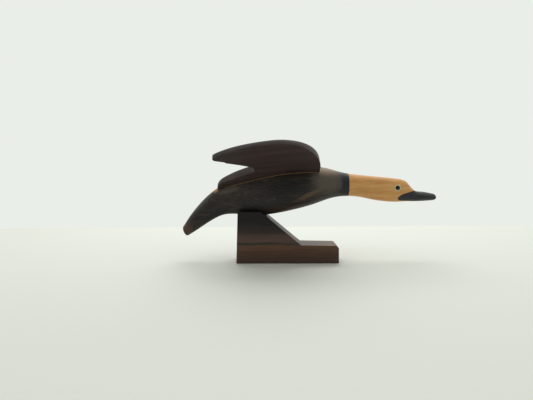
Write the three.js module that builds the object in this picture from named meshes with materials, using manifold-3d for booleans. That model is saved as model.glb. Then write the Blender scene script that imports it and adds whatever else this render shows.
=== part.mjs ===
// Carved wooden duck in low flight on a wedge-shaped hardwood stand.
// Millimetres, +Z up. The bill points along +X and the bird's left wing is on +Y.
// The origin lies on the table, under the middle of the bird's length.

import * as THREE from "three";
import Module from "manifold-3d";
import { mergeVertices } from "three/addons/utils/BufferGeometryUtils.js";

// Gap kept between two pieces that are glued or pressed together.
const GLUE_GAP = 0.3;

// Cross-sections of the bird from tail to bill: a point on the upper outline and one on the
// lower outline, each as [x, z], the reach to each side, how far up that reach lies, and how
// square the section is (2 is an ellipse).
const BIRD_SECTIONS = [
  section("tail end", [-109, 31.8], [-105.8, 22.7], 5.4, 0.5, 2.2),
  section("tail", [-102, 42.4], [-96.8, 28.2], 6.8, 0.5, 2.2),
  section("tail root", [-89.5, 56.4], [-84.2, 36.3], 7.2, 0.5, 2.1),
  section("rump", [-73.5, 68.3], [-72, 41.4], 7.8, 0.5, 2),
  section("rear of the stand", [-56, 76.3], [-55, 41], 11.3, 0.5, 2),
  section("front of the stand", [-37, 81.5], [-37, 40.6], 15.2, 0.5, 2),
  section("middle of the wings", [-16, 83.8], [-17, 43.9], 18.5, 0.5, 2),
  section("breast", [3.5, 83], [2.5, 48.8], 17.7, 0.5, 2),
  section("shoulder", [17.5, 80.7], [19, 54.5], 13.6, 0.5, 2),
  section("neck base", [29.5, 77.2], [30.5, 56.5], 10.2, 0.5, 2.1),
  section("neck", [43, 74.9], [43, 56], 9.2, 0.5, 2.2),
  section("cheek", [58, 73.4], [57, 52.9], 9, 0.5, 2.3),
  section("eye", [72.2, 71.8], [72, 51.1], 8.5, 0.5, 2.5),
  section("brow", [82.8, 69.9], [83.5, 51.4], 7.8, 0.46, 2.5),
  section("forehead", [87.6, 64.7], [88.5, 51.5], 7.3, 0.44, 2.4),
  section("bill root", [92.4, 60.4], [93, 51.5], 7, 0.42, 2.2),
  section("bill", [99.5, 59.6], [99.5, 51.7], 7, 0.4, 2),
  section("bill end", [106.6, 58.1], [106.6, 52.2], 6, 0.42, 2),
];
const TAIL_ROUNDING = 2.4;
const BILL_ROUNDING = 3.5;
const STEPS_PER_SECTION = 3;
const ROUNDING_STEPS = 4;
const SIDES_AROUND = 32;

// Stand: one block, a foot in front and a post behind with a sloped face between them.
const STAND_WIDTH = 26.5;
const STAND_REAR_X = -62;
const STAND_FRONT_X = 25.4;
const POST_LEAN = 1.7;
const POST_TOP_Z = 44.4;
const POST_TOP_FRONT_X = -40.7;
const SLOPE_FOOT_X = -6.5;
const FOOT_HEIGHT_REAR = 15.6;
const FOOT_HEIGHT_FRONT = 15;
const FOOT_CORNER_RADIUS = 3;
const STAND_EDGE_BEVEL = 0.6;

// Wing board: s runs along the board towards the head and t runs out along the span. Both
// start at the wing's place on the flank, where the lower face touches the body.
const WING_PLACE = [-16, 14, 76.4];
const WING_RISE = THREE.MathUtils.degToRad(38);
const WING_PITCH = THREE.MathUtils.degToRad(5.1);
const WING_ROOT_FRONT = { s: 24.5, t: -9 };
const WING_FRONT = { s: 26, t: 4 };
const WING_CROWN = { s: -11.8, t: 38.4 };
const WING_TIP_TOP = { s: -58, t: 29.4 };
const WING_TIP_BOTTOM = { s: -58.2, t: 25 };
const WING_TIP_BLUNTNESS = 4;
const TRAILING_EDGE_BELLY = 0.9;
const NOTCH = { s: -33, t: 9.6, radius: 4, upperSlope: -0.42, lowerSlope: 0.345 };
const FEATHER_SHOULDER_S = -56;
const FEATHER_CORNER = { s: -62.6, t: -5 };
const FEATHER_END = { s: -63.2, t: -12 };
const WING_ROOT_REAR = { s: -60, t: -20 };

// Thickness of the board: full at the root, thinner out along the span and behind rearStart.
const BOARD = { root: 8, spanLoss: 3.6, span: 38, rearLoss: 3.8, rearStart: -38, rearLength: 22 };
const REAR_LOSS_KEPT_AT_TIP = 0.25;
const BOARD_GRID = { along: 16, across: 9 };
const SAW_MARGIN = 6;
const MIDDLE_GAP = 0.35;
const CUTTER_SIZE = 300;

// Eyes, let into the sides of the head.
const EYE_PLACE = { x: 75.5, z: 63.4 };
const EYE_SEAT_Y = 6.1;
const EYE_RING_RADIUS = 2.85;
const EYE_HOLE_RADIUS = 1.95;
const EYE_RING_HEIGHT = 2.3;
const EYE_EDGE_ROUNDING = 0.25;
const EYE_PUPIL_HEIGHT = 2.1;
const EYE_PUPIL_DOME = 0.4;
const EYE_DOME_STEPS = 3;
const EYE_SIDES = 24;

const wasm = await Module();
wasm.setup();

const stainedWood = woodMaterial("#2b2521", 0.45);
const standHardwood = woodMaterial("#4a2f24", 0.4);
const wingHardwood = woodMaterial("#35241f", 0.42);
const paleInlay = woodMaterial("#d8cda0", 0.4);
const blackInlay = woodMaterial("#121214", 0.2);

const duck = new THREE.Group();
duck.add(makeStand(), makeBird());
duck.add(makeWing("wing_left", 1), makeWing("wing_right", -1));
duck.add(...makeEye("left", 1), ...makeEye("right", -1));

export default duck;

function section(place, top, bottom, halfWidth, widest, squareness) {
  return { place, top, bottom, halfWidth, widest, squareness };
}

function woodMaterial(color, roughness) {
  return new THREE.MeshStandardMaterial({ color, roughness, metalness: 0 });
}

function namedMesh(name, geometry, material) {
  const mesh = new THREE.Mesh(geometry, material);
  mesh.name = name;
  return mesh;
}

// Body, neck, head and bill as one carving, with a socket for each eye.
function makeBird() {
  const radius = EYE_RING_RADIUS + GLUE_GAP;
  const depth = 2 * (EYE_RING_HEIGHT + GLUE_GAP);
  let carving = toSolid(birdGeometry(0));
  for (const side of [1, -1]) {
    const socket = new THREE.CylinderGeometry(radius, radius, depth, EYE_SIDES);
    socket.translate(EYE_PLACE.x, side * (EYE_SEAT_Y - GLUE_GAP + depth / 2), EYE_PLACE.z);
    carving = carving.subtract(toSolid(socket));
  }
  return namedMesh("body", toGeometry(carving), stainedWood);
}

// The stand's side view is drawn as x and height and then given its width. The post is
// hollowed on top to the shape of the belly that sits in it.
function makeStand() {
  const outline = new THREE.Shape();
  outline.moveTo(STAND_REAR_X, 0);
  outline.lineTo(STAND_FRONT_X, 0);
  outline.absarc(
    STAND_FRONT_X - FOOT_CORNER_RADIUS, FOOT_HEIGHT_FRONT - FOOT_CORNER_RADIUS,
    FOOT_CORNER_RADIUS, 0, Math.PI / 2, false,
  );
  outline.lineTo(SLOPE_FOOT_X, FOOT_HEIGHT_REAR);
  outline.lineTo(POST_TOP_FRONT_X, POST_TOP_Z);
  outline.lineTo(STAND_REAR_X + POST_LEAN, POST_TOP_Z);
  outline.closePath();
  const block = new THREE.ExtrudeGeometry(outline, {
    depth: STAND_WIDTH - 2 * STAND_EDGE_BEVEL,
    bevelThickness: STAND_EDGE_BEVEL,
    bevelSize: STAND_EDGE_BEVEL,
    bevelOffset: -STAND_EDGE_BEVEL,
    bevelSegments: 2,
    curveSegments: 6,
  });
  block.rotateX(Math.PI / 2);
  block.translate(0, STAND_WIDTH / 2 - STAND_EDGE_BEVEL, 0);
  const fitted = toSolid(block).subtract(toSolid(birdGeometry(GLUE_GAP)));
  return namedMesh("base", toGeometry(fitted), standHardwood);
}

// A wing is a board sawn to its outline, tilted up and outwards, and fitted to the flank.
// side is 1 for the left wing and -1 for the right one, its mirror image.
function makeWing(name, side) {
  const along = new THREE.Vector3(Math.cos(WING_PITCH), 0, Math.sin(WING_PITCH));
  const rise = new THREE.Vector3(-Math.sin(WING_PITCH), 0, Math.cos(WING_PITCH));
  const outwards = new THREE.Vector3(0, Math.cos(WING_RISE), 0);
  outwards.addScaledVector(rise, Math.sin(WING_RISE));
  const through = new THREE.Vector3().crossVectors(along, outwards);
  const place = new THREE.Matrix4().makeBasis(along, outwards, through);
  place.setPosition(...WING_PLACE);
  const board = toGeometry(toSolid(boardGeometry()).intersect(toSolid(wingOutlineGeometry())));
  board.applyMatrix4(place);
  const otherSide = new THREE.BoxGeometry(CUTTER_SIZE, CUTTER_SIZE, CUTTER_SIZE);
  otherSide.translate(0, MIDDLE_GAP - CUTTER_SIZE / 2, 0);
  const fitted = toSolid(board)
    .subtract(toSolid(birdGeometry(GLUE_GAP)))
    .subtract(toSolid(otherSide));
  const mesh = namedMesh(name, toGeometry(fitted), wingHardwood);
  mesh.scale.y = side;
  return mesh;
}

// The board before it is sawn, flat below and planed thinner towards its edges above.
function boardGeometry() {
  const rear = FEATHER_END.s - SAW_MARGIN;
  const front = WING_FRONT.s + SAW_MARGIN;
  const root = WING_ROOT_REAR.t - SAW_MARGIN;
  const crown = WING_CROWN.t + SAW_MARGIN;
  const board = new THREE.BoxGeometry(front - rear, crown - root, 1, BOARD_GRID.along, BOARD_GRID.across);
  board.translate((front + rear) / 2, (crown + root) / 2, 0.5);
  const points = board.attributes.position;
  for (let i = 0; i < points.count; i += 1) {
    points.setZ(i, points.getZ(i) * boardThickness(points.getX(i), points.getY(i)));
  }
  return board;
}

function boardThickness(s, t) {
  const outwards = Math.max(t, 0) / BOARD.span;
  const rearwards = Math.max(BOARD.rearStart - s, 0) / BOARD.rearLength;
  const rearShare = Math.max(1 - (1 - REAR_LOSS_KEPT_AT_TIP) * outwards, 0);
  return BOARD.root - BOARD.spanLoss * outwards ** 2 - BOARD.rearLoss * rearShare * rearwards ** 2;
}

// Wing outline: rounded front, long upper edge, blunt tip, deep notch and a short lower
// feather. Its root runs inside the body.
function wingOutlineGeometry() {
  const upperTangent = Math.atan(NOTCH.upperSlope) + Math.PI / 2;
  const lowerTangent = Math.atan(NOTCH.lowerSlope) - Math.PI / 2;
  const notchTop = {
    s: NOTCH.s + NOTCH.radius * Math.cos(upperTangent),
    t: NOTCH.t + NOTCH.radius * Math.sin(upperTangent),
  };
  const notchBottom = {
    s: NOTCH.s + NOTCH.radius * Math.cos(lowerTangent),
    t: NOTCH.t + NOTCH.radius * Math.sin(lowerTangent),
  };
  const shoulderT = notchBottom.t + (FEATHER_SHOULDER_S - notchBottom.s) * NOTCH.lowerSlope;
  const outline = new THREE.Shape();
  outline.moveTo(WING_ROOT_FRONT.s, WING_ROOT_FRONT.t);
  outline.lineTo(WING_FRONT.s, WING_FRONT.t);
  outline.absellipse(
    WING_CROWN.s, WING_FRONT.t, WING_FRONT.s - WING_CROWN.s, WING_CROWN.t - WING_FRONT.t,
    0, Math.PI / 2, false,
  );
  outline.quadraticCurveTo(
    (WING_CROWN.s + WING_TIP_TOP.s) / 2, WING_CROWN.t,
    WING_TIP_TOP.s, WING_TIP_TOP.t,
  );
  outline.quadraticCurveTo(
    WING_TIP_TOP.s - WING_TIP_BLUNTNESS, (WING_TIP_TOP.t + WING_TIP_BOTTOM.t) / 2,
    WING_TIP_BOTTOM.s, WING_TIP_BOTTOM.t,
  );
  outline.quadraticCurveTo(
    (WING_TIP_BOTTOM.s + notchTop.s) / 2, (WING_TIP_BOTTOM.t + notchTop.t) / 2 + TRAILING_EDGE_BELLY,
    notchTop.s, notchTop.t,
  );
  outline.absarc(NOTCH.s, NOTCH.t, NOTCH.radius, upperTangent, lowerTangent, true);
  outline.lineTo(FEATHER_SHOULDER_S, shoulderT);
  outline.quadraticCurveTo(FEATHER_CORNER.s, FEATHER_CORNER.t, FEATHER_END.s, FEATHER_END.t);
  outline.lineTo(WING_ROOT_REAR.s, WING_ROOT_REAR.t);
  outline.closePath();
  const prism = new THREE.ExtrudeGeometry(outline, {
    depth: BOARD.root + 2 * SAW_MARGIN,
    bevelEnabled: false,
    curveSegments: 10,
  });
  prism.translate(0, 0, -SAW_MARGIN);
  return prism;
}

// Each eye is a pale ring and a domed pupil, turned about an axis that runs out of the head.
function makeEye(name, side) {
  const pupilRadius = EYE_HOLE_RADIUS - GLUE_GAP;
  const ringProfile = [
    new THREE.Vector2(EYE_HOLE_RADIUS, 0),
    new THREE.Vector2(EYE_RING_RADIUS, 0),
    new THREE.Vector2(EYE_RING_RADIUS, EYE_RING_HEIGHT - EYE_EDGE_ROUNDING),
    new THREE.Vector2(EYE_RING_RADIUS - EYE_EDGE_ROUNDING, EYE_RING_HEIGHT),
    new THREE.Vector2(EYE_HOLE_RADIUS, EYE_RING_HEIGHT),
    new THREE.Vector2(EYE_HOLE_RADIUS, 0),
  ];
  const pupilProfile = [new THREE.Vector2(0, 0), new THREE.Vector2(pupilRadius, 0)];
  for (let i = 0; i <= EYE_DOME_STEPS; i += 1) {
    const angle = (i / EYE_DOME_STEPS) * (Math.PI / 2);
    const height = EYE_PUPIL_HEIGHT + EYE_PUPIL_DOME * Math.sin(angle);
    pupilProfile.push(new THREE.Vector2(pupilRadius * Math.cos(angle), height));
  }
  const ring = new THREE.LatheGeometry(ringProfile, EYE_SIDES);
  const pupil = new THREE.LatheGeometry(pupilProfile, EYE_SIDES);
  const pieces = [
    namedMesh(`eye_ring_${name}`, ring, paleInlay),
    namedMesh(`eye_pupil_${name}`, pupil, blackInlay),
  ];
  for (const piece of pieces) {
    piece.position.set(EYE_PLACE.x, side * EYE_SEAT_Y, EYE_PLACE.z);
    piece.rotation.x = side > 0 ? 0 : Math.PI;
  }
  return pieces;
}

// The bird's skin, smooth through all its sections and rounded off at the tail and the bill.
// A clearance makes it larger all round, to cut the pieces that are fitted against it.
function birdGeometry(clearance) {
  const upper = splineThrough((row) => row.top);
  const lower = splineThrough((row) => row.bottom);
  const reach = splineThrough((row) => [row.halfWidth, 0]);
  const fullness = splineThrough((row) => [row.widest, row.squareness]);
  const last = (BIRD_SECTIONS.length - 1) * STEPS_PER_SECTION;
  const frames = [];
  for (let i = 0; i <= last; i += 1) {
    const top = upper.getPoint(i / last);
    const bottom = lower.getPoint(i / last);
    const upright = new THREE.Vector2().subVectors(top, bottom).normalize();
    top.addScaledVector(upright, clearance);
    bottom.addScaledVector(upright, -clearance);
    const halfWidth = reach.getPoint(i / last).x + clearance;
    const [widest, squareness] = fullness.getPoint(i / last).toArray();
    frames.push({ top, bottom, upright, halfWidth, widest, squareness });
  }
  const tail = roundedEnd(frames[0], -(TAIL_ROUNDING + clearance));
  const bill = roundedEnd(frames[last], BILL_ROUNDING + clearance);
  return loftGeometry([...tail.reverse(), ...frames, ...bill].map(ringPoints));
}

function splineThrough(pick) {
  return new THREE.SplineCurve(BIRD_SECTIONS.map((row) => new THREE.Vector2(...pick(row))));
}

// Sections that shrink to a point along a quarter ellipse beyond an end section. The reach is
// negative at the tail.
function roundedEnd(frame, reach) {
  const forwards = new THREE.Vector2(frame.upright.y, -frame.upright.x);
  const middle = new THREE.Vector2().lerpVectors(frame.bottom, frame.top, frame.widest);
  const sections = [];
  for (let i = 1; i <= ROUNDING_STEPS; i += 1) {
    const angle = (i / ROUNDING_STEPS) * (Math.PI / 2);
    const size = Math.cos(angle);
    const shift = forwards.clone().multiplyScalar(reach * Math.sin(angle));
    const top = middle.clone().lerp(frame.top, size).add(shift);
    const bottom = middle.clone().lerp(frame.bottom, size).add(shift);
    sections.push({ ...frame, top, bottom, halfWidth: frame.halfWidth * size });
  }
  return sections;
}

// One ring of points around a section, from the left side over the top.
function ringPoints({ top, bottom, halfWidth, widest, squareness }) {
  const middle = new THREE.Vector2().lerpVectors(bottom, top, widest);
  const points = [];
  for (let i = 0; i < SIDES_AROUND; i += 1) {
    const angle = (i / SIDES_AROUND) * 2 * Math.PI;
    const sideways = squaredOff(Math.cos(angle), squareness);
    const upwards = squaredOff(Math.sin(angle), squareness);
    const point = middle.clone().lerp(upwards > 0 ? top : bottom, Math.abs(upwards));
    points.push(new THREE.Vector3(point.x, sideways * halfWidth, point.y));
  }
  return points;
}

function squaredOff(value, squareness) {
  return Math.sign(value) * Math.abs(value) ** (2 / squareness);
}

// A closed skin over rings of equally many points, of which the first and the last have
// shrunk to a point.
function loftGeometry(rings) {
  const sides = rings[0].length;
  const indices = [];
  for (let row = 0; row + 1 < rings.length; row += 1) {
    for (let i = 0; i < sides; i += 1) {
      const here = row * sides + i;
      const beside = row * sides + ((i + 1) % sides);
      if (row > 0) indices.push(here, beside, here + sides);
      if (row + 2 < rings.length) indices.push(beside, beside + sides, here + sides);
    }
  }
  const skin = new THREE.BufferGeometry();
  skin.setFromPoints(rings.flat());
  skin.setIndex(indices);
  return skin;
}

function toSolid(geometry) {
  const plain = new THREE.BufferGeometry();
  plain.setAttribute("position", geometry.attributes.position);
  plain.setIndex(geometry.index);
  const merged = mergeVertices(plain);
  const mesh = new wasm.Mesh({
    numProp: 3,
    vertProperties: new Float32Array(merged.attributes.position.array),
    triVerts: new Uint32Array(merged.index.array),
  });
  return new wasm.Manifold(mesh);
}

function toGeometry(solid) {
  const mesh = solid.getMesh();
  const geometry = new THREE.BufferGeometry();
  geometry.setAttribute("position", new THREE.BufferAttribute(mesh.vertProperties, 3));
  geometry.setIndex(new THREE.BufferAttribute(mesh.triVerts, 1));
  geometry.computeVertexNormals();
  return geometry;
}
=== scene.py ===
"""Carved wooden duck in low flight on a wedge-shaped hardwood stand: the looks of every piece.

Metres, +Z up. The bill points along +X and the bird's left wing is on +Y. Sizes are given in
millimetres and turned to metres where a shape is made.
"""

import math

import bmesh
import bpy
from mathutils import Matrix, Vector, noise
from mathutils.bvhtree import BVHTree


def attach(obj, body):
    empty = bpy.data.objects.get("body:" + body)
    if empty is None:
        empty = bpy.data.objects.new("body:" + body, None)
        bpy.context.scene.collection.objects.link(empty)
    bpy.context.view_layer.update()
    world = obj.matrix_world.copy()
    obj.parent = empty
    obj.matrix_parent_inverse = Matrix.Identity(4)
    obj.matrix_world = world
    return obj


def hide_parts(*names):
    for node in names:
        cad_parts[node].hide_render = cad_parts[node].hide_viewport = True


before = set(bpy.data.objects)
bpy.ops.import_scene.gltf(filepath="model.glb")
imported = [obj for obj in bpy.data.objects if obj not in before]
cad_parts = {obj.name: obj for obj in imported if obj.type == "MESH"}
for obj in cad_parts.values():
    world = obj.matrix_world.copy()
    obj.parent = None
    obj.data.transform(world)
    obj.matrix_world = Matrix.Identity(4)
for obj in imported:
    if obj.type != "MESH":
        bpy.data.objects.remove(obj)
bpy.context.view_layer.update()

MM = 0.001

# Camera: as far from the bird and as low as the photograph was taken, with its wide lens.
PHOTO_WIDTH = 533
FOCAL_PIXELS = 400.0
SENSOR = 36.0
CAMERA_PLACE = (-24.0, -350.0, 76.2)
CAMERA_TURN = math.radians(1.968)
CAMERA_DIP = math.radians(3.70)
CAMERA_ROLL = math.radians(-0.6)

# Cross-sections of the bird from tail to bill: a point of the upper outline and one of the
# lower outline, each as x and z, the reach to each side, how far up that reach lies, and how
# square the section is (2 is an ellipse).
BIRD_SECTIONS = [
    (-109, 31.8, -105.8, 22.7, 5.4, 0.5, 2.2),
    (-102, 42.4, -96.8, 28.2, 6.8, 0.5, 2.2),
    (-89.5, 56.4, -84.2, 36.3, 7.2, 0.5, 2.1),
    (-73.5, 68.3, -72, 41.4, 7.8, 0.5, 2),
    (-56, 76.3, -55, 41, 11.3, 0.5, 2),
    (-37, 81.5, -37, 40.6, 15.2, 0.5, 2),
    (-16, 83.8, -17, 43.9, 18.5, 0.5, 2),
    (3.5, 83, 2.5, 48.8, 17.7, 0.5, 2),
    (17.5, 80.7, 19, 54.5, 13.6, 0.5, 2),
    (29.5, 77.2, 30.5, 56.5, 10.2, 0.5, 2.1),
    (43, 74.9, 43, 56, 9.2, 0.5, 2.2),
    (58, 73.4, 57, 52.9, 9, 0.5, 2.3),
    (72.2, 71.8, 72, 51.1, 8.5, 0.5, 2.5),
    (82.8, 69.9, 83.5, 51.4, 7.8, 0.46, 2.5),
    (87.6, 64.7, 88.5, 51.5, 7.3, 0.44, 2.4),
    (92.4, 60.4, 93, 51.5, 7, 0.42, 2.2),
    (99.5, 59.6, 99.5, 51.7, 7, 0.4, 2),
    (106.6, 58.1, 106.6, 52.2, 6, 0.42, 2),
]
TAIL_ROUNDING = 2.4
BILL_ROUNDING = 3.5
RINGS_PER_SECTION = 3
ROUNDING_RINGS = 5
SIDES_AROUND = 40
CUTTER_SIDES = 32
# The knife leaves the skin a little uneven.
KNIFE_DEPTH = 0.12
KNIFE_LENGTH = 14.0

# Stand: one block, a foot in front and a post behind with a sloped face between them.
STAND_WIDTH = 26.5
STAND_REAR_X = -62
STAND_FRONT_X = 25.4
POST_LEAN = 1.7
POST_TOP_Z = 44.4
POST_TOP_FRONT_X = -40.7
SLOPE_FOOT_X = -6.5
FOOT_HEIGHT_REAR = 15.6
FOOT_HEIGHT_FRONT = 15
FOOT_CORNER_RADIUS = 3
STAND_EASING = 0.5

# Wing board: s runs along the board towards the head and t runs out along the span. Both
# start at the wing's place on the flank, where the lower face touches the body.
WING_PLACE = (-16, 14, 76.4)
WING_RISE = math.radians(38)
WING_PITCH = math.radians(5.1)
WING_ROOT_FRONT = (24.5, -9)
WING_FRONT = (26, 4)
WING_CROWN = (-11.8, 38.4)
WING_TIP_TOP = (-58, 29.4)
WING_TIP_BOTTOM = (-58.2, 25)
WING_TIP_BLUNTNESS = 4
TRAILING_EDGE_BELLY = 0.9
NOTCH_MIDDLE = (-33, 9.6)
NOTCH_RADIUS = 4
NOTCH_UPPER_SLOPE = -0.42
NOTCH_LOWER_SLOPE = 0.345
FEATHER_SHOULDER_S = -56
FEATHER_CORNER = (-62.6, -5)
FEATHER_END = (-63.2, -12)
WING_ROOT_REAR = (-60, -20)
CURVE_STEPS = 14

# Thickness of the board: full at the root, thinner out along the span and behind BOARD_REAR_S.
BOARD_THICKNESS = 8.0
BOARD_SPAN = 38
BOARD_SPAN_LOSS = 3.6
BOARD_REAR_S = -38
BOARD_REAR_LENGTH = 22
BOARD_REAR_LOSS = 3.8
REAR_LOSS_KEPT_AT_TIP = 0.25
BOARD_EASING = 0.6
HOLDING_EDGE = 0.5
BOARD_CUT_SPACING = 5.0
MIDDLE_GAP = 0.35

# Eyes, let into the sides of the head.
EYE_X = 75.5
EYE_Z = 63.4
EYE_SEAT_Y = 6.1
EYE_RING_RADIUS = 2.85
EYE_HOLE_RADIUS = 1.95
EYE_RING_HEIGHT = 2.3
EYE_PUPIL_RADIUS = 1.75
EYE_PUPIL_HEIGHT = 2.1
EYE_PUPIL_DOME = 0.4
EYE_FIT = 0.08
EYE_STEPS = 48

# Glue pressed out along the wing's lower face.
GLUE_FIRST_S = -57.0
GLUE_LAST_S = 25.0
GLUE_STEPS = 90
GLUE_RADIUS = 0.55


def linear(colour):
    """An sRGB hex colour as the linear RGBA that shaders work in."""
    channels = [int(colour[i : i + 2], 16) / 255 for i in (1, 3, 5)]
    return [c / 12.92 if c <= 0.04045 else ((c + 0.055) / 1.055) ** 2.4 for c in channels] + [1.0]


def add(tree, kind, inputs, stops=(), points=(), **settings):
    """Adds a shader node and returns its outputs. Inputs are values or other nodes' outputs.

    Stops are a colour ramp's places and colours, and points are a curve's.
    """
    node = tree.nodes.new("ShaderNode" + kind)
    for name, value in settings.items():
        setattr(node, name, value)
    for key, value in inputs.items():
        socket = node.inputs[key]
        if isinstance(key, str):
            socket = next(s for s in node.inputs if s.enabled and s.name == key)
        if isinstance(value, bpy.types.NodeSocket):
            tree.links.new(value, socket)
        else:
            socket.default_value = value
    for _ in stops[2:]:
        node.color_ramp.elements.new(0.5)
    for element, (place, colour) in zip(node.color_ramp.elements if stops else (), stops):
        element.position = place
        element.color = linear(colour)
    for _ in points[2:]:
        node.mapping.curves[0].points.new(0.5, 0.5)
    for point, (across, up) in zip(node.mapping.curves[0].points if points else (), points):
        point.location = (across, up)
    if points:
        node.mapping.update()
    return [socket for socket in node.outputs if socket.enabled]


def make_camera():
    data = bpy.data.cameras.new("camera")
    data.lens = FOCAL_PIXELS / PHOTO_WIDTH * SENSOR
    data.sensor_width = SENSOR
    camera = bpy.data.objects.new("camera", data)
    bpy.context.scene.collection.objects.link(camera)
    level = Matrix.Rotation(CAMERA_TURN, 4, "Z") @ Matrix.Rotation(math.pi / 2 - CAMERA_DIP, 4, "X")
    camera.matrix_world = Matrix.Translation(Vector(CAMERA_PLACE) * MM) @ level @ Matrix.Rotation(CAMERA_ROLL, 4, "Z")
    bpy.context.scene.camera = camera


def start(primitive, name, **settings):
    """Adds a primitive with nothing else selected and opens it in edit mode."""
    bpy.ops.object.select_all(action="DESELECT")
    primitive(**settings)
    piece = bpy.context.object
    piece.name = name
    bpy.ops.object.mode_set(mode="EDIT")
    bpy.ops.mesh.select_mode(type="VERT")
    return piece


def finish_mesh(piece, smooth_angle):
    """Leaves edit mode with the piece's place in its mesh and its soft edges shaded smooth."""
    bpy.ops.object.mode_set(mode="OBJECT")
    bpy.ops.object.transform_apply(location=True, rotation=True, scale=True)
    bpy.ops.object.shade_smooth_by_angle(angle=smooth_angle)
    return piece


def apply_modifier(piece, kind, **settings):
    modifier = piece.modifiers.new(kind.lower(), kind)
    for name, value in settings.items():
        setattr(modifier, name, value)
    bpy.context.view_layer.objects.active = piece
    bpy.ops.object.modifier_apply(modifier=modifier.name)


def cut_away(piece, cutter):
    apply_modifier(piece, "BOOLEAN", operation="DIFFERENCE", solver="EXACT", object=cutter)


def choose(kind, wanted):
    """Selects the faces, edges or vertices for which wanted says yes, and nothing else."""
    bpy.ops.mesh.select_all(action="DESELECT")
    bpy.ops.mesh.select_mode(type={"faces": "FACE", "edges": "EDGE", "verts": "VERT"}[kind])
    mesh = bmesh.from_edit_mesh(bpy.context.object.data)
    for part in getattr(mesh, kind):
        part.select_set(bool(wanted(part)))
    mesh.select_flush_mode()
    bmesh.update_edit_mesh(bpy.context.object.data)


def trace(name, points):
    """An outline drawn point by point, as a chain of edges."""
    corner = Vector(points[0])
    piece = start(bpy.ops.mesh.primitive_plane_add, name, size=MM, location=(0, 0, 0))
    bpy.ops.mesh.merge(type="CENTER")
    bpy.ops.transform.translate(value=corner)
    for before, after in zip(points, points[1:]):
        step = Vector(after) - Vector(before)
        bpy.ops.mesh.extrude_region_move(TRANSFORM_OT_translate={"value": step})
    return piece


def fill_outline():
    """Closes a traced outline with a last edge and fills it."""
    choose("verts", lambda vert: len(vert.link_edges) < 2)
    bpy.ops.mesh.edge_face_add()
    bpy.ops.mesh.select_all(action="SELECT")
    bpy.ops.mesh.edge_face_add()


def arc(middle, radius, first, last, steps):
    """Points of an arc; radius may be one number or one for each direction."""
    wide, high = radius if isinstance(radius, tuple) else (radius, radius)
    angles = [first + (last - first) * i / steps for i in range(steps + 1)]
    return [(middle[0] + wide * math.cos(a), middle[1] + high * math.sin(a)) for a in angles]


def bow(start_point, pull, end_point, steps):
    """Points of a curve from start to end that is drawn towards pull, without its start."""
    found = []
    for i in range(1, steps + 1):
        share = i / steps
        ends = Vector(start_point).lerp(Vector(pull), share)
        found.append(tuple(ends.lerp(Vector(pull).lerp(Vector(end_point), share), share)))
    return found


def bird_row(share):
    """The bird's section at a share of the way from the first to the last, smooth between them."""
    last = len(BIRD_SECTIONS) - 1
    index = min(int(share * last), last - 1)
    t = share * last - index
    rows = [BIRD_SECTIONS[min(max(index + k, 0), last)] for k in (-1, 0, 1, 2)]
    return [
        b + t * ((c - a) / 2 + t * ((2 * a - 5 * b + 4 * c - d) / 2 + t * (3 * b - a - 3 * c + d) / 2))
        for a, b, c, d in zip(*rows)
    ]


def ring_point(row, turn):
    """A point on a section's rim in metres, at a turn from the left side over the top."""
    top_x, top_z, bottom_x, bottom_z, half_width, widest, squareness = row
    sideways, upwards = (
        math.copysign(abs(part) ** (2 / squareness), part) for part in (math.cos(turn), math.sin(turn))
    )
    top, bottom = Vector((top_x, 0, top_z)), Vector((bottom_x, 0, bottom_z))
    middle = bottom.lerp(top, widest)
    point = middle.lerp(top if upwards > 0 else bottom, abs(upwards))
    return (point + Vector((0, sideways * half_width, 0))) * MM


def rounded_rows(row, reach):
    """Sections that shrink along a quarter ellipse beyond an end section."""
    top, bottom = Vector((row[0], row[1])), Vector((row[2], row[3]))
    upright = (top - bottom).normalized()
    forwards = Vector((upright.y, -upright.x))
    middle = bottom.lerp(top, row[5])
    found = []
    for i in range(1, ROUNDING_RINGS + 1):
        angle = i / (ROUNDING_RINGS + 0.5) * math.pi / 2
        shift = forwards * reach * math.sin(angle)
        ends = [middle.lerp(end, math.cos(angle)) + shift for end in (top, bottom)]
        found.append([*ends[0], *ends[1], row[4] * math.cos(angle), *row[5:]])
    return found


def carve_bird(name, sides):
    """The whole carving, drawn out ring by ring from the tail to the bill."""
    last = (len(BIRD_SECTIONS) - 1) * RINGS_PER_SECTION
    rows = [bird_row(i / last) for i in range(last + 1)]
    tail = rounded_rows(rows[0], -TAIL_ROUNDING)
    bill = rounded_rows(rows[-1], BILL_ROUNDING)
    rows = tail[::-1] + rows + bill
    piece = start(bpy.ops.mesh.primitive_circle_add, name, vertices=sides, radius=MM, fill_type="NGON")
    mesh = bmesh.from_edit_mesh(piece.data)
    turns = mesh.verts.layers.float.new("turn")
    for i, vert in enumerate(mesh.verts):
        vert[turns] = 2 * math.pi * i / sides
    for row in rows:
        if row is not rows[0]:
            bpy.ops.mesh.extrude_region_move()
        mesh = bmesh.from_edit_mesh(piece.data)
        turns = mesh.verts.layers.float["turn"]
        for vert in mesh.verts:
            if vert.select:
                vert.co = ring_point(row, vert[turns])
        bmesh.update_edit_mesh(piece.data)
    bpy.ops.mesh.select_all(action="SELECT")
    bpy.ops.mesh.normals_make_consistent(inside=False)
    return finish_mesh(piece, math.pi)


def smooth_bird(bird):
    """The knife's surface: rounded between the rings and slightly uneven along the grain."""
    apply_modifier(bird, "SUBSURF", levels=2, render_levels=2)
    moved = []
    for vert, normal in zip(bird.data.vertices, [n.vector.copy() for n in bird.data.vertex_normals]):
        x, y, z = vert.co / (KNIFE_LENGTH * MM)
        moved.extend(vert.co + normal * noise.noise(Vector((x * 0.6, y, z))) * KNIFE_DEPTH * MM)
    bird.data.vertices.foreach_set("co", moved)
    bird.data.update()


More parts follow.
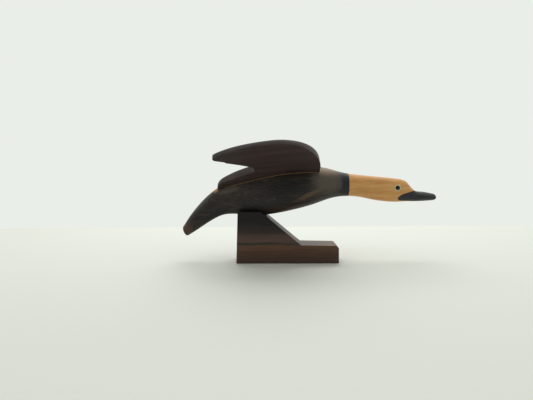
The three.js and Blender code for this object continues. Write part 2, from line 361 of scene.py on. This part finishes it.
def board_thickness(s, t):
    outwards = max(t, 0) / BOARD_SPAN
    rearwards = max(BOARD_REAR_S - s, 0) / BOARD_REAR_LENGTH
    rear_share = max(1 - (1 - REAR_LOSS_KEPT_AT_TIP) * outwards, 0)
    return BOARD_THICKNESS - BOARD_SPAN_LOSS * outwards**2 - BOARD_REAR_LOSS * rear_share * rearwards**2


def wing_outline():
    """The board's outline as s and t: rounded front, long upper edge, blunt tip, deep notch
    and a short lower feather. The root runs inside the body."""
    upper = math.atan(NOTCH_UPPER_SLOPE) + math.pi / 2
    lower = math.atan(NOTCH_LOWER_SLOPE) - math.pi / 2
    notch = arc(NOTCH_MIDDLE, NOTCH_RADIUS, upper, lower, CURVE_STEPS)
    shoulder = (FEATHER_SHOULDER_S, notch[-1][1] + (FEATHER_SHOULDER_S - notch[-1][0]) * NOTCH_LOWER_SLOPE)
    crown_reach = (WING_FRONT[0] - WING_CROWN[0], WING_CROWN[1] - WING_FRONT[1])
    points = [WING_ROOT_FRONT]
    points += arc((WING_CROWN[0], WING_FRONT[1]), crown_reach, 0, math.pi / 2, 2 * CURVE_STEPS)
    points += bow(WING_CROWN, ((WING_CROWN[0] + WING_TIP_TOP[0]) / 2, WING_CROWN[1]), WING_TIP_TOP, CURVE_STEPS)
    tip = (WING_TIP_TOP[0] - WING_TIP_BLUNTNESS, (WING_TIP_TOP[1] + WING_TIP_BOTTOM[1]) / 2)
    points += bow(WING_TIP_TOP, tip, WING_TIP_BOTTOM, CURVE_STEPS // 2)
    belly = [(a + b) / 2 for a, b in zip(WING_TIP_BOTTOM, notch[0])]
    points += bow(WING_TIP_BOTTOM, (belly[0], belly[1] + TRAILING_EDGE_BELLY), notch[0], CURVE_STEPS)
    points += notch[1:]
    points += [shoulder]
    points += bow(shoulder, FEATHER_CORNER, FEATHER_END, CURVE_STEPS // 2)
    points += [WING_ROOT_REAR]
    return points


def wing_axes():
    """The board's place: columns along it, out along its span, and up through it."""
    along = Vector((math.cos(WING_PITCH), 0, math.sin(WING_PITCH)))
    rise = Vector((-math.sin(WING_PITCH), 0, math.cos(WING_PITCH)))
    outwards = Vector((0, math.cos(WING_RISE), 0)) + rise * math.sin(WING_RISE)
    turned = Matrix((along, outwards, along.cross(outwards))).transposed().to_4x4()
    return Matrix.Translation(Vector(WING_PLACE) * MM) @ turned


def make_wing_board():
    """The left wing: sawn to its outline, eased all round, planed thinner towards its edges."""
    outline = [(s * MM, t * MM, 0) for s, t in wing_outline()]
    board = trace("wing_board_left", outline)
    fill_outline()
    thick = BOARD_THICKNESS * MM
    bpy.ops.mesh.extrude_region_move(TRANSFORM_OT_translate={"value": (0, 0, thick)})
    bpy.ops.mesh.select_all(action="SELECT")
    bpy.ops.mesh.normals_make_consistent(inside=False)
    choose("edges", lambda edge: abs(edge.verts[0].co.z - edge.verts[1].co.z) < MM * 0.1)
    bpy.ops.mesh.bevel(offset=BOARD_EASING * MM, segments=3, profile=0.5, clamp_overlap=False)
    choose("faces", lambda face: abs(face.normal.z) > 0.99 and len(face.verts) > 20)
    bpy.ops.mesh.inset(thickness=HOLDING_EDGE * MM, use_even_offset=True)
    for axis, low, high in ((0, FEATHER_END[0], WING_FRONT[0]), (1, WING_ROOT_REAR[1], WING_CROWN[1])):
        for i in range(1, int((high - low) / BOARD_CUT_SPACING) + 1):
            place = Vector((0, 0, 0))
            place[axis] = (low + i * BOARD_CUT_SPACING) * MM
            facing = [float(k == axis) for k in range(3)]
            bpy.ops.mesh.select_all(action="SELECT")
            bpy.ops.mesh.bisect(plane_co=place, plane_no=facing)
    mesh = bmesh.from_edit_mesh(board.data)
    sawn = mesh.verts.layers.float.new("sawn_edge")
    for vert in mesh.verts:
        vert[sawn] = 0.0 if abs(vert.normal.z) > 0.9 else 1.0
        vert.co.z *= board_thickness(vert.co.x / MM, vert.co.y / MM) / BOARD_THICKNESS
    bmesh.update_edit_mesh(board.data)
    bpy.ops.mesh.select_all(action="SELECT")
    bpy.ops.mesh.normals_make_consistent(inside=False)
    bpy.ops.object.mode_set(mode="OBJECT")
    board.data.transform(wing_axes())
    bpy.ops.object.mode_set(mode="EDIT")
    bpy.ops.mesh.select_all(action="SELECT")
    bpy.ops.mesh.bisect(
        plane_co=(0, MIDDLE_GAP * MM, 0), plane_no=(0, 1, 0), use_fill=True, clear_inner=True
    )
    return finish_mesh(board, math.radians(35))


def mirrored(piece, name):
    """The other side's copy, with a mesh of its own."""
    bpy.ops.object.select_all(action="DESELECT")
    copy = piece.copy()
    copy.data = piece.data.copy()
    copy.name = name
    bpy.context.scene.collection.objects.link(copy)
    copy.data.transform(Matrix.Scale(-1, 4, (0, 1, 0)))
    copy.select_set(True)
    bpy.context.view_layer.objects.active = copy
    bpy.ops.object.mode_set(mode="EDIT")
    bpy.ops.mesh.select_all(action="SELECT")
    bpy.ops.mesh.normals_make_consistent(inside=False)
    bpy.ops.object.mode_set(mode="OBJECT")
    return copy


def make_stand():
    """The block: its side view traced, given its width, and its corners taken off."""
    corner = (STAND_FRONT_X - FOOT_CORNER_RADIUS, FOOT_HEIGHT_FRONT - FOOT_CORNER_RADIUS)
    outline = [(STAND_REAR_X, 0), (STAND_FRONT_X, 0)]
    outline += arc(corner, FOOT_CORNER_RADIUS, 0, math.pi / 2, 8)
    outline += [(SLOPE_FOOT_X, FOOT_HEIGHT_REAR), (POST_TOP_FRONT_X, POST_TOP_Z)]
    outline += [(STAND_REAR_X + POST_LEAN, POST_TOP_Z)]
    half = STAND_WIDTH / 2
    block = trace("stand_block", [(x * MM, -half * MM, z * MM) for x, z in outline])
    fill_outline()
    bpy.ops.mesh.extrude_region_move(TRANSFORM_OT_translate={"value": (0, STAND_WIDTH * MM, 0)})
    bpy.ops.mesh.select_all(action="SELECT")
    bpy.ops.mesh.normals_make_consistent(inside=False)
    choose("edges", lambda edge: edge.calc_face_angle(0) > math.radians(20))
    bpy.ops.mesh.bevel(offset=STAND_EASING * MM, segments=3, profile=0.5, clamp_overlap=False)
    choose("faces", lambda face: face.calc_area() > 50 * MM * MM)
    bpy.ops.mesh.inset(thickness=HOLDING_EDGE * MM, use_even_offset=True, use_individual=True)
    return finish_mesh(block, math.radians(40))


def spin_profile(name, profile):
    """A piece turned about the y axis of the left eye, from its profile as radius and height."""
    points = [((EYE_X + radius) * MM, (EYE_SEAT_Y + height) * MM, EYE_Z * MM) for radius, height in profile]
    piece = trace(name, points)
    bpy.ops.mesh.select_all(action="SELECT")
    bpy.ops.mesh.spin(
        steps=EYE_STEPS, angle=2 * math.pi, center=(EYE_X * MM, 0, EYE_Z * MM), axis=(0, 1, 0)
    )
    bpy.ops.mesh.select_all(action="SELECT")
    bpy.ops.mesh.remove_doubles(threshold=0.002 * MM)
    bpy.ops.mesh.normals_make_consistent(inside=False)
    return finish_mesh(piece, math.radians(40))


def make_eye():
    """The left eye: a pale ring with a rounded rim, and a domed black pupil inside it."""
    rim_middle = ((EYE_RING_RADIUS + EYE_HOLE_RADIUS) / 2, EYE_RING_HEIGHT - 0.25)
    rim_reach = ((EYE_RING_RADIUS - EYE_HOLE_RADIUS) / 2, 0.25)
    ring_profile = [(EYE_HOLE_RADIUS, 0), (EYE_RING_RADIUS, 0)]
    ring_profile += arc(rim_middle, rim_reach, 0, math.pi, 8) + [(EYE_HOLE_RADIUS, 0)]
    dome = arc((0, EYE_PUPIL_HEIGHT), (EYE_PUPIL_RADIUS, EYE_PUPIL_DOME), 0, math.pi / 2, 8)
    ring = spin_profile("eye_inlay_ring_left", ring_profile)
    pupil = spin_profile("eye_inlay_pupil_left", [(0, 0), (EYE_PUPIL_RADIUS, 0)] + dome)
    return ring, pupil


def cut_eye_sockets(bird):
    """Round sockets for the eyes, a hair wider than the rings."""
    for side in (1, -1):
        depth = 2 * EYE_RING_HEIGHT * MM
        socket = start(
            bpy.ops.mesh.primitive_cylinder_add, "socket", vertices=EYE_STEPS,
            radius=(EYE_RING_RADIUS + EYE_FIT) * MM, depth=depth,
            location=(EYE_X * MM, side * (EYE_SEAT_Y * MM + depth / 2), EYE_Z * MM),
            rotation=(math.pi / 2, 0, 0),
        )
        bpy.ops.object.mode_set(mode="OBJECT")
        cut_away(bird, socket)
        bpy.data.objects.remove(socket)


def make_glue(bird):
    """The bead of glue along the left wing's lower face, where it meets the flank."""
    skin = BVHTree.FromObject(bird, bpy.context.evaluated_depsgraph_get())
    axes = wing_axes()
    inwards = -(axes.to_3x3() @ Vector((0, 1, 0)))
    points = []
    for i in range(GLUE_STEPS + 1):
        s = GLUE_FIRST_S + (GLUE_LAST_S - GLUE_FIRST_S) * i / GLUE_STEPS
        outside = axes @ Vector((s * MM, BOARD_SPAN * MM, 0))
        hit = skin.ray_cast(outside, inwards)[0]
        if hit is not None:
            points.append(hit)
    line = bpy.data.curves.new("wing_glue_left", "CURVE")
    line.dimensions = "3D"
    line.bevel_depth = GLUE_RADIUS * MM
    line.bevel_resolution = 2
    line.use_fill_caps = True
    bead = line.splines.new("POLY")
    bead.points.add(len(points) - 1)
    for i, (target, place) in enumerate(zip(bead.points, points)):
        swell = noise.noise(Vector((i * 0.35, 0, 0)))
        end = min(1.0, min(i, len(points) - 1 - i) / 4)
        target.co = (*place, 1)
        target.radius = (0.75 + 0.6 * swell) * (0.25 + 0.75 * end)
    glue = bpy.data.objects.new("wing_glue_left", line)
    bpy.context.scene.collection.objects.link(glue)
    bpy.ops.object.select_all(action="DESELECT")
    glue.select_set(True)
    bpy.context.view_layer.objects.active = glue
    bpy.ops.object.convert(target="MESH")
    glue = bpy.context.object
    bpy.ops.object.mode_set(mode="EDIT")
    bpy.ops.mesh.select_all(action="SELECT")
    bpy.ops.mesh.normals_make_consistent(inside=False)
    return finish_mesh(glue, math.pi)


def new_finish(name):
    """A material with its shader, and the piece's own coordinates in millimetres."""
    material = bpy.data.materials.new(name)
    material.use_nodes = True
    tree = material.node_tree
    shader = tree.nodes["Principled BSDF"]
    place = add(tree, "TexCoord", {})[3]
    millimetres = add(tree, "VectorMath", {0: place, "Scale": 1 / MM}, operation="SCALE")[0]
    return material, tree, shader, millimetres


def streaks(tree, millimetres, length, width, detail=3.0, lean=0.0, shift=0.0, uneven=0.0):
    """Noise drawn out along the grain: about so long and so wide, in millimetres."""
    lying = add(
        tree, "Mapping",
        {"Vector": millimetres, "Location": (shift, shift, shift), "Rotation": (0, lean, 0), "Scale": (length, width, width)},
        vector_type="TEXTURE",
    )[0]
    return add(tree, "TexNoise", {"Vector": lying, "Scale": 1.0, "Detail": detail, "Distortion": uneven})[0]


def between(tree, value, low, high):
    """0 below low, 1 above high, and smooth in between."""
    return add(tree, "MapRange", {"Value": value, "From Min": low, "From Max": high}, interpolation_type="SMOOTHSTEP")[0]


def times(tree, first, second):
    return add(tree, "Math", {0: first, 1: second}, operation="MULTIPLY")[0]


def plus(tree, first, second):
    return add(tree, "Math", {0: first, 1: second}, operation="ADD")[0]


def over(tree, share, below, above):
    """One colour laid over another."""
    above = linear(above) if isinstance(above, str) else above
    below = linear(below) if isinstance(below, str) else below
    return add(tree, "Mix", {"Factor": share, "A": below, "B": above}, data_type="RGBA")[0]


def dab(tree, millimetres, colour, middle, reach, lean, tint, share, broken):
    """A soft patch of another tint, on both sides of the bird, broken up by the grain."""
    lying = add(
        tree, "Mapping",
        {
            "Vector": millimetres, "Location": (middle[0], 0, middle[1]),
            "Rotation": (0, -math.radians(lean), 0), "Scale": (reach[0], FAR_APART, reach[1]),
        },
        vector_type="TEXTURE",
    )[0]
    inside = add(tree, "TexGradient", {"Vector": lying}, gradient_type="SPHERICAL")[1]
    rough_edge = plus(tree, inside, times(tree, plus(tree, broken, -0.5), DAB_RAGGEDNESS))
    return over(tree, times(tree, between(tree, rough_edge, 0.0, 0.7), share), colour, tint)


def roughen(tree, shader, height, depth_mm):
    normal = add(tree, "Bump", {"Height": height, "Distance": depth_mm * MM, "Strength": 1.0})[0]
    tree.links.new(normal, shader.inputs["Normal"])


FAR_APART = 10000
DAB_RAGGEDNESS = 0.5

# Where the stain on the bird is rubbed thin or lies thick, and where shade and a sheen are
# painted on it: middle as x and z, reach along and across, how far the patch leans, its colour
# and how much of it shows.
STAIN_PATCHES = [
    # painted shade: the flank right under the wing is darkened to near-black in its colour
    ("painted shade on the flank under the wing", (-18, 62), (26, 12), 6, "#131316", 0.9),
    # stain with painted shade: the belly just above the stand's top is darkened in its colour
    ("stain and painted shade above the stand", (-40, 50), (24, 5), 8, "#202328", 0.6),
    ("brown under the breast", (-18, 47), (34, 4), 6, "#3c2a22", 0.7),
    ("rubbed line along the breast", (1, 59), (17, 3), 24, "#5e4c38", 0.75),
    ("rubbed breast", (16, 70), (20, 15), -12, "#5a5147", 0.8),
    ("bare shoulder", (12, 81), (22, 8), -8, "#8c745c", 0.7),
    # painted sheen: a pale grey band along the tail's upper back edge
    ("painted sheen on the back edge of the tail", (-92, 54), (30, 5), 45, "#4a4844", 0.7),
    ("thick stain under the tail", (-80, 41), (20, 6), 30, "#1b1e23", 0.7),
    ("worn end of the tail", (-105, 29), (7, 7), 30, "#5c4232", 0.6),
    ("bare spot behind the wing", (-80, 63), (4, 3), 30, "#a37a4a", 0.8),
    ("rubbed strip under the feather", (-68, 63), (14, 4), 15, "#5f544a", 0.6),
]
RING_REAR_X = 28.2
RING_FRONT_X = 34.7
RING_SOFT_EDGE = 3.0
PAINT_EDGE = 0.25
PAINT_WOBBLE = 0.5

# Rear edge of the bill's paint on each side, as height and x, from the chin over the cheek.
BILL_PAINT_EDGE = [
    (51.0, 90.0), (52.0, 86.5), (52.5, 78.5), (53.2, 76.6), (54.2, 76.0), (55.7, 76.6),
    (57.2, 78.3), (58.3, 80.8), (59.3, 84.1), (60.1, 86.6), (60.8, 89.6), (62.0, 91.5),
]
BILL_EDGE_Z = (50.0, 63.0)
BILL_EDGE_X = (70.0, 95.0)

# The stand's heartwood: height of each layer at its middle, and its colour. The top layers, near-black right under
# the bird, are dark wood with painted shade.
STAND_LAYERS_AND_PAINTED_SHADE = [
    (0.0, "#3f322a"), (2.0, "#4f3a2d"), (8.0, "#53392c"), (10.5, "#5e4232"), (14.0, "#6a4836"),
    (15.5, "#5e4638"), (17.0, "#2f2a28"), (19.0, "#5c4a42"), (20.5, "#5f4740"), (23.5, "#4c3a33"),
    # dark wood with painted shade: the top layers turn near-black under the bird
    (25.5, "#3b2e29"), (28.0, "#312522"), (31.5, "#2b1f1d"), (33.5, "#171413"), (37.0, "#0e0d0f"),
]


def scaled(tree, value, low, high):
    """A value in millimetres as a share of the way from low to high."""
    return add(tree, "MapRange", {"Value": value, "From Min": low, "From Max": high})[0]


def stained_wood(tree, millimetres, fine, broad):
    """Black-brown stain wiped on by hand, lying thick in places and rubbed thin in others, with painted shade under
    the wing and above the stand and a painted sheen on the tail.
    """
    grain = plus(tree, times(tree, fine, 0.55), times(tree, broad, 0.45))
    colour = add(
        tree, "ValToRGB", {"Fac": grain}, stops=[(0.3, "#191819"), (0.5, "#2a2422"), (0.68, "#41372e")]
    )[0]
    for name, middle, reach, lean, tint, share in STAIN_PATCHES:
        colour = dab(tree, millimetres, colour, middle, reach, lean, tint, share, fine)
    return colour


def varnished_wood(tree, fine, broad):
    grain = plus(tree, times(tree, fine, 0.6), times(tree, broad, 0.4))
    return add(
        tree, "ValToRGB", {"Fac": grain}, stops=[(0.3, "#b97f48"), (0.5, "#d29a5c"), (0.7, "#dfae72")]
    )[0]


def finish_bird():
    """Carved limewood, sanded: satin stain on the body with painted shade and sheen in patches, clear varnish on the
    head, black on the bill.
    """
    material, tree, shader, millimetres = new_finish("carved_limewood_stained_and_varnished")
    x, y, z = add(tree, "SeparateXYZ", {0: millimetres})
    fine = streaks(tree, millimetres, 24, 0.8, detail=4, uneven=0.4)
    broad = streaks(tree, millimetres, 60, 4, detail=2, shift=37)
    wobble = times(tree, plus(tree, streaks(tree, millimetres, 3, 3, shift=11), -0.5), PAINT_WOBBLE)
    colour = stained_wood(tree, millimetres, fine, broad)
    place = plus(tree, x, wobble)
    ringed = between(tree, place, RING_REAR_X - RING_SOFT_EDGE / 2, RING_REAR_X + RING_SOFT_EDGE / 2)
    colour = over(tree, ringed, colour, "#20242b")
    headed = between(tree, place, RING_FRONT_X - PAINT_EDGE, RING_FRONT_X + PAINT_EDGE)
    colour = over(tree, headed, colour, varnished_wood(tree, fine, broad))
    low, high = BILL_EDGE_Z
    rear, front = BILL_EDGE_X
    points = [((height - low) / (high - low), (edge - rear) / (front - rear)) for height, edge in BILL_PAINT_EDGE]
    edge = add(tree, "FloatCurve", {"Value": scaled(tree, z, low, high)}, points=points)[0]
    past_edge = plus(tree, scaled(tree, place, rear, front), times(tree, edge, -1.0))
    reach = PAINT_EDGE / (front - rear)
    painted = between(tree, past_edge, -reach, reach)
    colour = over(tree, painted, colour, "#2b2b2e")
    tree.links.new(colour, shader.inputs["Base Color"])
    shader.inputs["Specular IOR Level"].default_value = 0.3
    roughness = plus(tree, 0.38, times(tree, fine, 0.25))
    tree.links.new(roughness, shader.inputs["Roughness"])
    roughen(tree, shader, fine, 0.05)
    return material


def finish_wings():
    """Rosewood board, sawn and sanded, oiled: purplish brown with dark lines along the grain."""
    material, tree, shader, millimetres = new_finish("oiled_rosewood_board")
    fine = streaks(tree, millimetres, 40, 0.9, detail=4, lean=-WING_PITCH, uneven=0.3)
    broad = streaks(tree, millimetres, 60, 5, detail=2, lean=-WING_PITCH, shift=23)
    grain = plus(tree, times(tree, fine, 0.5), times(tree, broad, 0.5))
    colour = add(
        tree, "ValToRGB", {"Fac": grain}, stops=[(0.3, "#251b1c"), (0.5, "#372928"), (0.7, "#4a3836")]
    )[0]
    tree.links.new(colour, shader.inputs["Base Color"])
    shader.inputs["Specular IOR Level"].default_value = 0.35
    roughness = plus(tree, 0.36, times(tree, fine, 0.25))
    tree.links.new(roughness, shader.inputs["Roughness"])
    roughen(tree, shader, fine, 0.05)
    return material


def finish_stand():
    """Rosewood block, planed and oiled: orange-brown and black layers lie along it, and its top under the bird is
    near-black with painted shade.
    """
    material, tree, shader, millimetres = new_finish("oiled_rosewood_block")
    x, y, z = add(tree, "SeparateXYZ", {0: millimetres})
    fine = streaks(tree, millimetres, 30, 0.9, detail=4, uneven=0.5)
    broad = streaks(tree, millimetres, 40, 6, detail=2, shift=51)
    height = plus(tree, z, times(tree, plus(tree, broad, -0.5), 7.0))
    height = plus(tree, height, times(tree, plus(tree, fine, -0.5), 1.5))
    stops = [(level / 45, tint) for level, tint in STAND_LAYERS_AND_PAINTED_SHADE]
    colour = add(tree, "ValToRGB", {"Fac": scaled(tree, height, 0.0, 45.0)}, stops=stops)[0]
    dark = between(tree, fine, 0.62, 0.35)
    colour = over(tree, times(tree, dark, 0.35), colour, "#241813")
    tree.links.new(colour, shader.inputs["Base Color"])
    shader.inputs["Specular IOR Level"].default_value = 0.35
    roughness = plus(tree, 0.34, times(tree, fine, 0.25))
    tree.links.new(roughness, shader.inputs["Roughness"])
    roughen(tree, shader, fine, 0.06)
    return material


def finish_small(name, tint, roughness, grain_share):
    material, tree, shader, millimetres = new_finish(name)
    mottle = streaks(tree, millimetres, 1.0, 0.6, detail=3)
    colour = over(tree, times(tree, mottle, grain_share), tint, "#1a1410")
    tree.links.new(colour, shader.inputs["Base Color"])
    shader.inputs["Roughness"].default_value = roughness
    return material


def finish_floor():
    material, tree, shader, millimetres = new_finish("matt_white_board")
    shader.inputs["Base Color"].default_value = linear("#d5d6cf")
    shader.inputs["Roughness"].default_value = 0.7
    return material


def make_stage():
    floor = start(bpy.ops.mesh.primitive_plane_add, "floor", size=1)
    bpy.ops.transform.resize(value=(FLOOR_LENGTH, FLOOR_DEPTH, 1))
    bpy.ops.transform.translate(value=(0, FLOOR_REAR_Y * MM - FLOOR_DEPTH / 2, -FLOOR_GAP * MM))
    finish_mesh(floor, 0)
    floor.data.materials.append(finish_floor())


FLOOR_LENGTH = 4.0
FLOOR_DEPTH = 2.5
FLOOR_REAR_Y = 225
FLOOR_GAP = 0.02


def make_light():
    """A pale room, darker behind the camera, with one large soft light above and behind the bird."""
    world = bpy.data.worlds.new("pale_room")
    world.use_nodes = True
    bpy.context.scene.world = world
    tree = world.node_tree
    tree.nodes["Background"].inputs["Color"].default_value = linear("#eaeee8")
    tree.nodes["Background"].inputs["Strength"].default_value = 1.0
    flag = start(bpy.ops.mesh.primitive_plane_add, "dark_flag", size=1)
    bpy.ops.transform.resize(value=(0.9, 0.9, 1))
    bpy.ops.transform.rotate(value=math.pi / 2, orient_axis="X", center_override=(0, 0, 0))
    bpy.ops.transform.translate(value=(0, -0.8, 0.4))
    finish_mesh(flag, 0)
    material, tree, shader, millimetres = new_finish("black_felt")
    shader.inputs["Base Color"].default_value = linear("#202020")
    shader.inputs["Roughness"].default_value = 1.0
    flag.data.materials.append(material)
    flag.visible_camera = False
    data = bpy.data.lights.new("softbox", "AREA")
    data.energy = 5.0
    data.size = 0.8
    softbox = bpy.data.objects.new("softbox", data)
    bpy.context.scene.collection.objects.link(softbox)
    softbox.location = (0.0, 0.45, 0.8)
    softbox.rotation_euler = (Vector((0, 0, 0.05)) - softbox.location).to_track_quat("-Z", "Y").to_euler()
    softbox.visible_camera = False


bpy.context.scene.view_settings.view_transform = "Standard"
make_camera()
make_stage()
make_light()
bird = carve_bird("bird_carving", SIDES_AROUND)
cutter = carve_bird("bird_cutter", CUTTER_SIDES)
smooth_bird(bird)
cut_eye_sockets(bird)
stand = make_stand()
wing_left = make_wing_board()
for piece in (stand, wing_left):
    cut_away(piece, cutter)
bpy.data.objects.remove(cutter)
wing_right = mirrored(wing_left, "wing_board_right")
ring_left, pupil_left = make_eye()
ring_right = mirrored(ring_left, "eye_inlay_ring_right")
pupil_right = mirrored(pupil_left, "eye_inlay_pupil_right")
glue_left = make_glue(bird)
glue_right = mirrored(glue_left, "wing_glue_right")

PARTS = [
    (bird, "body", "stained_carving"),
    (stand, "base", "stand_hardwood"),
    (wing_left, "wing_left", "wing_hardwood"),
    (wing_right, "wing_right", "wing_hardwood"),
    (ring_left, "eye_ring_left", "eye_ring"),
    (ring_right, "eye_ring_right", "eye_ring"),
    (pupil_left, "eye_pupil_left", "eye_pupil"),
    (pupil_right, "eye_pupil_right", "eye_pupil"),
]
for piece, node_name, slot_name in PARTS:
    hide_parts(node_name)
for piece in [part[0] for part in PARTS] + [glue_left, glue_right]:
    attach(piece, "root")

FINISHES = [
    (finish_bird(), [bird]),
    (finish_stand(), [stand]),
    (finish_wings(), [wing_left, wing_right]),
    (finish_small("bone_inlay", "#dcd2a6", 0.35, 0.15), [ring_left, ring_right]),
    (finish_small("black_lacquered_peg", "#101114", 0.15, 0.1), [pupil_left, pupil_right]),
    (finish_small("amber_wood_glue", "#7d5c34", 0.3, 0.5), [glue_left, glue_right]),
]
for material, pieces in FINISHES:
    for piece in pieces:
        piece.data.materials.clear()
        piece.data.materials.append(material)
